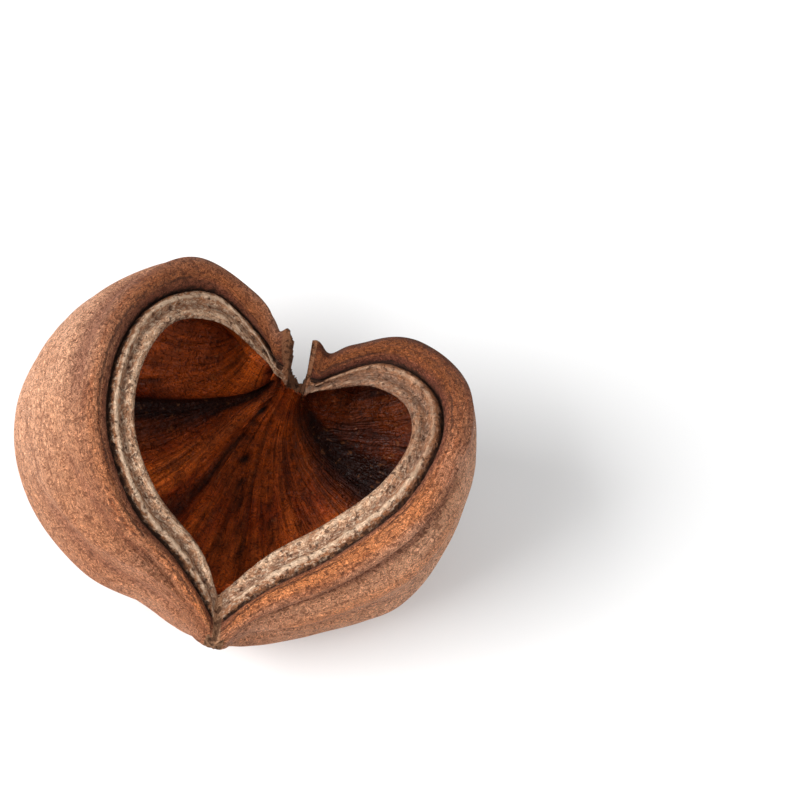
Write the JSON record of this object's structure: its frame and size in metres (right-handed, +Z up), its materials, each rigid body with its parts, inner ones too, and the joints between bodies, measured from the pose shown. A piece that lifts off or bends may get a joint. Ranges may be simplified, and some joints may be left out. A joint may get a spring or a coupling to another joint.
{
  "type": "sterculia pod",
  "caption": "Open woody seed pod split along its seam into two raised, rolled lips round a deep heart-shaped mouth, with small torn horns at the notch and a stalk scar opposite.",
  "frame": {"origin": "centre of the bounding box's bottom, on the plane of the small flat spot that the pod rests on", "axes": "+X across the mouth, towards the smaller lobe; +Y from the stalk to the notch; +Z up, out of the mouth"},
  "size_m": [0.0912, 0.07, 0.0503],
  "materials": {
    "woody_shell": "dry, matt, fibrous brown skin with a pale corky band along the mouth's lip"
  },
  "bodies": {
    "root": {"pod": "woody_shell"}
  },
  "joints": []
}
